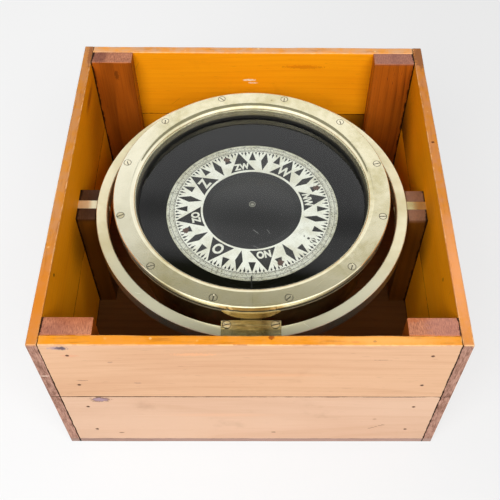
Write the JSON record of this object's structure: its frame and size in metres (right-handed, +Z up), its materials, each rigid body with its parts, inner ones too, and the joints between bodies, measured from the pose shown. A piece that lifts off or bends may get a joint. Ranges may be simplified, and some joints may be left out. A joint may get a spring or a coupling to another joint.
{
  "type": "boxed marine compass",
  "caption": "Marine compass in an open wooden box: a glazed brass liquid bowl swings in a brass gimbal ring and holds a free-turning card on a pivot.",
  "frame": {"origin": "centre of the box's underside, on the surface that it stands on", "axes": "+Z up through the compass bowl, -Y towards the front board that faces the user, +X to the user's right along the ring's axis"},
  "size_m": [0.39, 0.39, 0.217],
  "materials": {
    "floor_pine": "old varnished pine, darkened",
    "pale_pine": "varnished pale pine with fine straight grain",
    "pine": "amber varnished pine, glossy",
    "mahogany": "reddish brown varnished hardwood",
    "brass": "polished pale brass with fine turning lines and light tarnish",
    "brass_screws": "polished slotted brass screws",
    "lacquered_brass": "dull darkened brass",
    "iron_nails": "dark, slightly rusted nail heads",
    "steel": "fine ground steel",
    "black_paint": "satin black",
    "glass": "clear plate glass",
    "rubber": "matt black",
    "lead": "dull grey lead",
    "card_white": "off-white printed face",
    "ink": "matt black print",
    "jewel": "polished"
  },
  "bodies": {
    "box": {"floor_board_front": "floor_pine", "floor_board_back": "floor_pine", "front_panel_lower": "pale_pine", "front_panel_upper": "pale_pine", "back_panel_lower": "pine", "back_panel_upper": "pine", "left_side_lower": "pine", "left_side_upper": "pine", "right_side_lower": "pine", "right_side_upper": "pine", "corner_block_front_left": "mahogany", "corner_block_front_right": "mahogany", "corner_block_back_left": "mahogany", "corner_block_back_right": "mahogany", "left_gimbal_post": "mahogany", "right_gimbal_post": "mahogany", "left_bearing_block": "brass", "right_bearing_block": "brass", "wall_nails": "iron_nails", "floor_nails": "iron_nails", "post_screws": "brass_screws"},
    "ring": {"gimbal_ring": "brass", "left_ring_trunnion": "brass", "right_ring_trunnion": "brass", "front_bearing_cap": "brass", "back_bearing_cap": "brass", "bearing_cap_screws": "brass_screws"},
    "bowl": {"bowl_body": "lacquered_brass", "bowl_rim": "brass", "front_trunnion_bracket": "brass", "back_trunnion_bracket": "brass", "front_bowl_trunnion": "brass", "back_bowl_trunnion": "brass", "bezel_ring": "brass", "bezel_screws": "brass_screws", "bezel_gasket": "rubber", "top_glass": "glass", "glass_gasket": "rubber", "lubber_pointer": "black_paint", "pivot_bridge": "brass", "bridge_screws": "brass_screws", "pivot_stem": "brass", "pivot_pin": "steel", "filler_plug": "brass", "filler_washer": "lead", "expansion_diaphragm": "brass", "cover_flange": "lacquered_brass", "bottom_cover": "lacquered_brass", "cover_screws": "brass_screws", "ballast_ring": "lead", "ballast_screws": "brass_screws"},
    "card": {"card_disc": "card_white", "card_points": "ink", "float_upper_shell": "black_paint", "float_lower_shell": "black_paint", "float_tunnel": "black_paint", "card_cap": "brass", "cap_jewel": "jewel", "magnet_carrier": "brass", "card_magnets": "steel"}
  },
  "joints": [
    {"name": "ring_swing", "type": "hinge", "parent": "box", "child": "ring", "pos_m": [0, 0, 0.162], "axis": [1, 0, 0], "range_deg": [-60, 60]},
    {"name": "bowl_swing", "type": "hinge", "parent": "ring", "child": "bowl", "pos_m": [0, 0, 0.162], "axis": [0, 1, 0], "range_deg": [-60, 60]},
    {"name": "card_turn", "type": "hinge", "parent": "bowl", "child": "card", "pos_m": [0, 0, 0.162], "axis": [0, 0, 1], "continuous": true}
  ]
}
